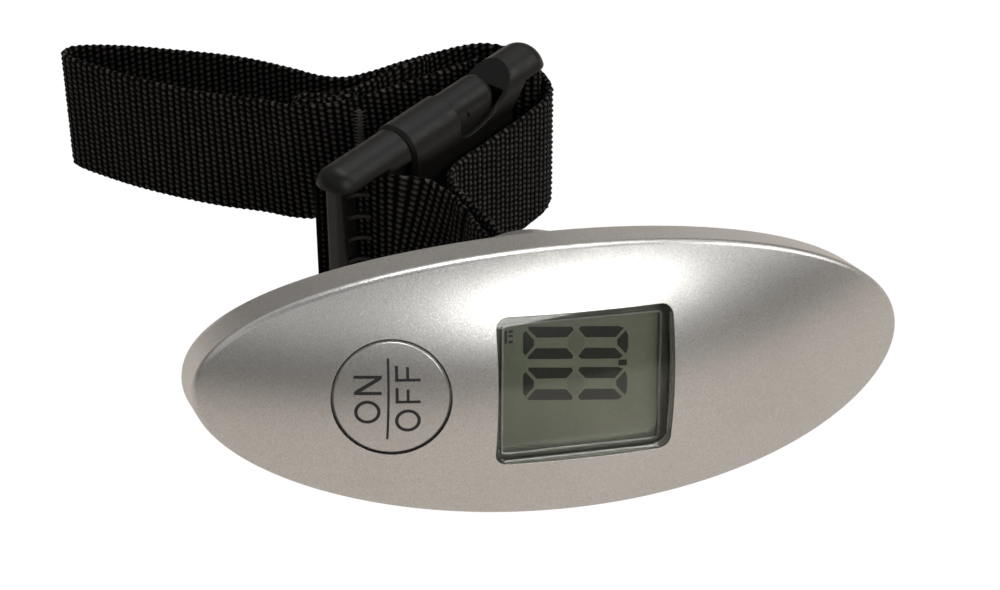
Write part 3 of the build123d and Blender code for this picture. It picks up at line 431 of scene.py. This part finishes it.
def yarn_height(s, t, side):
    """Height of the weave above the cloth's core: ribs across the strip, each a chain of knuckles."""
    col = np.floor(s / PITCH_S)
    fs = s / PITCH_S - col
    rib = np.clip(1 - (np.abs(fs - 0.5) / 0.34) ** 2, 0, 1) ** 0.6
    shift = 0.5 * (col % 2) + 0.13 * np.sin(col * 2.4) + (0.25 if side < 0 else 0.0)
    q = t / PITCH_T + shift + 0.42 * (fs - 0.5) + 0.05 * np.sin(t * 1.7 + col)
    knuckle = 0.5 + 0.5 * np.cos(2 * np.pi * q)
    row = np.round(q)
    odd = np.sin(col * 12.9898 + row * 78.233) * 43758.5453
    odd = odd - np.floor(odd)
    return 0.02 + rib * (0.06 + (0.24 + 0.12 * odd) * knuckle ** 1.1)


def weave(name, line, body, step_s=PITCH_S / 8, step_t=PITCH_T / 6):
    P = np.array(line)
    keep = [0]
    for i in range(1, len(P)):
        if np.linalg.norm(P[i] - P[keep[-1]]) > 1e-4:
            keep.append(i)
    P = P[keep]
    s = np.r_[0, np.cumsum(np.linalg.norm(np.diff(P, axis=0), axis=1))]
    m = int(s[-1] / step_s)
    ss = np.linspace(0, s[-1], m + 1)
    C = np.c_[[np.interp(ss, s, P[:, k]) for k in range(3)]].T
    T = np.gradient(C, axis=0)
    for _ in range(3):
        T[1:-1] = (T[:-2] + 2 * T[1:-1] + T[2:]) / 4
    T /= np.linalg.norm(T, axis=1)[:, None]
    W = np.array([width_dir(c) for c in C])
    W -= (W * T).sum(1)[:, None] * T
    W /= np.linalg.norm(W, axis=1)[:, None]
    A = np.cross(W, T)
    half = WEB_W / 2 - 0.10
    tt = np.linspace(-half, half, int(2 * half / step_t) + 1)
    nt_ = len(tt)
    S, TT = np.meshgrid(ss, tt, indexing="ij")
    edge = np.clip((np.abs(TT) - (half - 0.75)) / 0.75, 0, 1)
    core = 0.38 * np.sqrt(np.clip(1 - 0.90 * edge ** 2, 0, 1))
    # selvedge loops: the outermost rows step in and out with each rib
    loops = 0.13 * np.cos(2 * np.pi * S / PITCH_S) * edge * np.sign(TT)
    wav = 0.10 * np.sin(S * 0.21) * np.sin(TT * 0.17 + S * 0.05)
    up = core + yarn_height(S, TT, 1) * (1 - 0.75 * edge ** 2)
    dn = core + yarn_height(S, TT, -1) * (1 - 0.75 * edge ** 2)
    top = C[:, None, :] + A[:, None, :] * (up + 0 * wav)[..., None] + W[:, None, :] * (TT + loops)[..., None]
    bot = C[:, None, :] - A[:, None, :] * (dn + 0 * wav)[..., None] + W[:, None, :] * (TT + loops)[..., None]
    M = len(ss)
    verts = np.concatenate([top.reshape(-1, 3), bot.reshape(-1, 3)]) * MM
    base = M * nt_
    i, j = np.meshgrid(np.arange(M - 1), np.arange(nt_ - 1), indexing="ij")
    q = (i * nt_ + j).ravel()
    quads = [np.c_[q, q + nt_, q + nt_ + 1, q + 1], np.c_[q + base, q + 1 + base, q + nt_ + 1 + base, q + nt_ + base]]
    i = np.arange(M - 1)
    a = i * nt_
    quads.append(np.c_[a, a + base, a + nt_ + base, a + nt_])
    a = i * nt_ + nt_ - 1
    quads.append(np.c_[a, a + nt_, a + nt_ + base, a + base])
    j = np.arange(nt_ - 1)
    quads.append(np.c_[j, j + 1, j + 1 + base, j + base])
    j = j + (M - 1) * nt_
    quads.append(np.c_[j, j + base, j + 1 + base, j + 1])
    F = np.concatenate(quads)
    me = bpy.data.meshes.new(name)
    me.vertices.add(len(verts))
    me.vertices.foreach_set("co", verts.astype(np.float32).ravel())
    me.loops.add(F.size)
    me.loops.foreach_set("vertex_index", F.astype(np.int32).ravel())
    me.polygons.add(len(F))
    me.polygons.foreach_set("loop_start", np.arange(0, F.size, 4, dtype=np.int32))
    me.update(calc_edges=True)
    me.validate()
    relief = np.concatenate([((h - 0.02) / 0.42).ravel() for h in (yarn_height(S, TT, 1), yarn_height(S, TT, -1))])
    at_ = me.attributes.new("relief", "FLOAT", "POINT")
    at_.data.foreach_set("value", relief.astype(np.float32))
    me.polygons.foreach_set("use_smooth", [True] * len(me.polygons))
    me.materials.append(mat_web)
    o = bpy.data.objects.new(name, me)
    bpy.context.scene.collection.objects.link(o)
    fix_normals(o)
    return o


loop_piece = weave("webbing_loop", loop_line, "strap")
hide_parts("strap_webbing")
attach(loop_piece, "strap")
strand_piece = weave("webbing_adjuster_strand", strand_line, "strap")
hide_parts("strap_adjuster_end")
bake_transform(strand_piece)

# bar tacks: zigzag thread over a core bar, both sides of the loop's sewn end
tb = []
for (x, y, side) in ((-13.2, 94.66, -1), (-13.4, 100.45, 1)):
    pts = []
    rows = 58
    for k in range(rows + 1):
        z = 3.9 + k * (20.6 / rows)
        sx = 0.95 if k % 2 else -0.95
        pts.append(rf(x + sx, y - side * 0.16, z))
        pts.append(rf(x + sx * 0.35, y + side * 0.13, z + 0.10))
        pts.append(rf(x - sx * 0.35, y + side * 0.13, z + 0.22))
    tb.append(pts)


def tube(lines, radius, sides=6):
    v, f = [], []
    for L in lines:
        L = np.array(L)
        T = np.gradient(L, axis=0)
        T /= np.linalg.norm(T, axis=1)[:, None]
        k0 = len(v)
        for p, t in zip(L, T):
            a = unit(np.cross(t, [0.3, 1.0, 0.2]))
            c = np.cross(t, a)
            for e in range(sides):
                th = 2 * math.pi * e / sides
                v.append(p + radius * (math.cos(th) * a + math.sin(th) * c))
        for i in range(len(L) - 1):
            for e in range(sides):
                g = (e + 1) % sides
                f.append([k0 + i * sides + e, k0 + i * sides + g, k0 + (i + 1) * sides + g, k0 + (i + 1) * sides + e])
        f.append([k0 + sides - 1 - e for e in range(sides)])
        e0 = k0 + (len(L) - 1) * sides
        f.append([e0 + e for e in range(sides)])
    return v, f


v, f = tube(tb, 0.17)
tack = piece("bar_tack_zigzag", v, f, mat_thread)
fix_normals(tack)
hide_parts("bar_tack_stitching")
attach(tack, "strap")

# ---------------------------------------------------------------- display: lit segments, faint segment, inner edge
PANEL = -5.85


def on_panel(h):
    return lambda u, v: bp(u, v, PANEL + h)


seg_on = [
    [(.023, .145), (.103, .421), (.101, .596), (.023, .89), (0, .803), (0, .246)],
    [(.054, .018), (.463, .018), (.479, .114), (.412, .333), (.13, .351), (.047, .088)],
    [(.526, .10), (.546, 0), (.913, 0), (.96, .048), (.879, .333), (.595, .333)],
    [(.98, .123), (1, .276), (1, .649), (.98, .833), (.899, .57), (.895, .408)],
    [(.04, .956), (.121, .671), (.412, .671), (.474, .89), (.463, .991), (.054, 1)],
    [(.523, .904), (.587, .658), (.872, .658), (.949, .89), (.913, .978), (.55, .991)],
]
seg_off = [(.425, .36), (.503, .13), (.575, .36), (.575, .64), (.503, .87), (.425, .64)]
digits = {"digit_upper": [(-9.56, 9.61), (7.90, 7.98), (8.02, 2.48), (-9.52, 4.20)],
          "digit_lower": [(-9.51, 2.88), (7.88, 1.16), (8.00, -4.40), (-9.46, -2.59)]}


def quad(c, a, b):
    c = [np.array(p) for p in c]
    return tuple((1 - b) * ((1 - a) * c[0] + a * c[1]) + b * ((1 - a) * c[3] + a * c[2]))


for name, c in digits.items():
    B = Build()
    for s_ in seg_on:
        B.prism([quad(c, a, b_) for a, b_ in s_], on_panel(0.01), on_panel(0.07))
    if name == "digit_lower":
        B.prism([(6.43, 2.54), (7.80, 2.44), (7.80, 1.50), (6.43, 1.60)], on_panel(0.01), on_panel(0.07))
    o = piece(name, B.v, B.f, mat_segment, smooth=False)
    fix_normals(o)
    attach(o, "housing")
    B = Build()
    B.prism([quad(c, a, b_) for a, b_ in seg_off], on_panel(0.008), on_panel(0.03))
    o = piece(name + "_faint", B.v, B.f, mat_segment_off, smooth=False)
    fix_normals(o)
    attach(o, "housing")

B = Build()
for a0, a1, b0, b1 in ((-12.55, -12.20, 7.0, 9.1), (-11.95, -11.25, 8.7, 9.1), (-11.95, -11.25, 8.0, 8.35), (-11.95, -11.25, 7.0, 7.4)):
    B.prism([(a0, b1), (a1, b1), (a1, b0), (a0, b0)], on_panel(0.01), on_panel(0.06))
o = piece("unit_marks", B.v, B.f, mat_segment, smooth=False)
fix_normals(o)
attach(o, "housing")


def rounded(cu, cv, l, w, r, n=6):
    out_ = []
    for sx, sy, a0 in ((1, 1, 0), (-1, 1, 90), (-1, -1, 180), (1, -1, 270)):
        for k in range(n + 1):
            a = math.radians(a0 + 90 * k / n)
            out_.append((cu + sx * (l / 2 - r) + r * math.cos(a), cv + sy * (w / 2 - r) + r * math.sin(a)))
    return out_


# clear inner edge of the lens: a narrow closed frame standing above the panel
B = Build()
B.ribbon(rounded(0.02, -0.35, 26.3, 21.2, 0.7), 0.32, on_panel(0.10), on_panel(0.85), closed=True)
o = piece("lens_inner_edge", B.v, B.f, mat_clear_edge)
fix_normals(o)
sharpen(o)
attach(o, "housing")

# ---------------------------------------------------------------- function legend on the power button
low = lambda u, v: bp(u, v, face_w(u, v) - 0.02)
high = lambda u, v: bp(u, v, face_w(u, v) + 0.03)


def oval(cu, cv, ru, rv, n=44):
    return [(cu + ru * math.cos(2 * math.pi * k / n), cv + rv * math.sin(2 * math.pi * k / n)) for k in range(n)]


SW = 0.50
B = Build()
B.ribbon(oval(-34.89, -1.75, 1.70, 1.64), SW, low, high, closed=True)
B.ribbon([(-36.83, 3.88), (-32.68, 3.88)], SW, low, high)
B.ribbon([(-36.83, 1.30), (-32.75, 1.30)], SW, low, high)
B.ribbon([(-36.55, 1.45), (-32.95, 3.74)], SW * 1.15, low, high)
B.ribbon([(-31.67, 6.79), (-31.87, -6.34)], 0.36, low, high)
B.ribbon(oval(-28.86, -3.21, 1.68, 1.60), SW, low, high, closed=True)
for (v0, v1, v2) in ((-0.13, 2.13, 1.88), (3.37, 5.63, 5.40)):
    B.ribbon([(-30.72, v0), (-26.96, v0)], SW * 0.9, low, high)
    B.ribbon([(-30.48, v0 + 0.2), (-30.48, v1)], SW * 0.92, low, high)
    B.ribbon([(-28.85, v0 + 0.2), (-28.85, v2)], SW * 0.86, low, high)
legend = piece("button_legend", B.v, B.f, mat_ink, smooth=False)
fix_normals(legend)
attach(legend, "power_button")

# ---------------------------------------------------------------- stage, light, camera
size = 4.0
me = bpy.data.meshes.new("floor_sheet")
me.from_pydata([(-size, -size, -0.0002), (size, -size, -0.0002), (size, size, -0.0002), (-size, size, -0.0002)], [], [(0, 1, 2, 3)])
floor = bpy.data.objects.new("floor_sheet", me)
bpy.context.scene.collection.objects.link(floor)
m, nt, b, out = new_mat("floor_paper")
vec = coords(nt)
nt.links.new(ramp(nt, noise(nt, vec, 30.0, 3.0), [(0.3, (0.90, 0.90, 0.90)), (0.7, (0.93, 0.93, 0.93))]), b.inputs["Base Color"])
b.inputs["Roughness"].default_value = 0.9
b.inputs["Specular IOR Level"].default_value = 0.1
# painted reflection: the floor glows a warm beige for glossy rays only, giving the silver housing a warm reflection low
# down; camera rays see plain white
floor_glossy_glow = nt.nodes.new("ShaderNodeEmission")
floor_glossy_glow.inputs["Color"].default_value = (0.80, 0.735, 0.675, 1.0)
floor_glossy_glow.inputs["Strength"].default_value = 0.90
lp = nt.nodes.new("ShaderNodeLightPath")
mx = nt.nodes.new("ShaderNodeMixShader")
nt.links.new(lp.outputs["Is Glossy Ray"], mx.inputs[0])
nt.links.new(b.outputs[0], mx.inputs[1])
nt.links.new(floor_glossy_glow.outputs[0], mx.inputs[2])
wh = nt.nodes.new("ShaderNodeEmission")
wh.inputs["Color"].default_value = (1.0, 1.0, 1.0, 1.0)
wh.inputs["Strength"].default_value = 1.02
mc = nt.nodes.new("ShaderNodeMixShader")
nt.links.new(lp.outputs["Is Camera Ray"], mc.inputs[0])
nt.links.new(mx.outputs[0], mc.inputs[1])
nt.links.new(wh.outputs[0], mc.inputs[2])
nt.links.new(mc.outputs[0], out.inputs[0])
me.materials.append(m)

world = bpy.data.worlds.new("studio")
bpy.context.scene.world = world
world.use_nodes = True
nt = world.node_tree
tc = nt.nodes.new("ShaderNodeTexCoord")
sep = nt.nodes.new("ShaderNodeSeparateXYZ")
nt.links.new(tc.outputs["Generated"], sep.inputs[0])
# dark low horizon, bright from 25 degrees up, a little dimmer overhead
sky = ramp(nt, sep.outputs["Z"], [(0.0, (0.085, 0.080, 0.076)), (0.20, (0.085, 0.082, 0.079)), (0.30, (0.14, 0.137, 0.134)), (0.50, (0.74, 0.735, 0.73)), (0.62, (0.80, 0.80, 0.80)), (0.85, (0.30, 0.30, 0.30))])
nt.links.new(sky, nt.nodes["Background"].inputs["Color"])
nt.nodes["Background"].inputs["Strength"].default_value = 0.85


def area(name, pos, target, sx, sy, power, color=(1, 1, 1)):
    L = bpy.data.lights.new(name, "AREA")
    L.shape = "RECTANGLE"
    L.size, L.size_y = sx, sy
    L.energy = power
    L.color = color
    o = bpy.data.objects.new(name, L)
    bpy.context.scene.collection.objects.link(o)
    o.location = Vector(pos)
    d = Vector(target) - Vector(pos)
    o.rotation_euler = d.to_track_quat("-Z", "Y").to_euler()
    return o


area("key_top", (0.16, 0.22, 0.80), (0.0, -0.03, 0.02), 0.60, 0.40, 3.6, (1.0, 0.998, 0.99))
area("card_front", (0.28, -0.68, 0.52), (0.0, -0.06, 0.02), 0.50, 0.20, 2.6, (1.0, 0.995, 0.985))
area("side_right", (0.75, -0.05, 0.45), (0.0, -0.03, 0.02), 0.30, 0.45, 1.4, (1.0, 0.99, 0.98))

cam_d = bpy.data.cameras.new("photo_camera")
cam_d.sensor_width = 36.0
cam_d.sensor_fit = "HORIZONTAL"
cam_d.lens = 93.6
cam_d.clip_start = 0.01
cam_d.clip_end = 20.0
cam = bpy.data.objects.new("photo_camera", cam_d)
bpy.context.scene.collection.objects.link(cam)
cam.location = Vector((apex + np.array([-107.4, -302.7, 247.1])) * MM)
cam.rotation_euler = Vector((0.2375, 0.7787, -0.5807)).to_track_quat("-Z", "Y").to_euler()
bpy.context.scene.camera = cam
bpy.context.scene.view_settings.view_transform = "Standard"
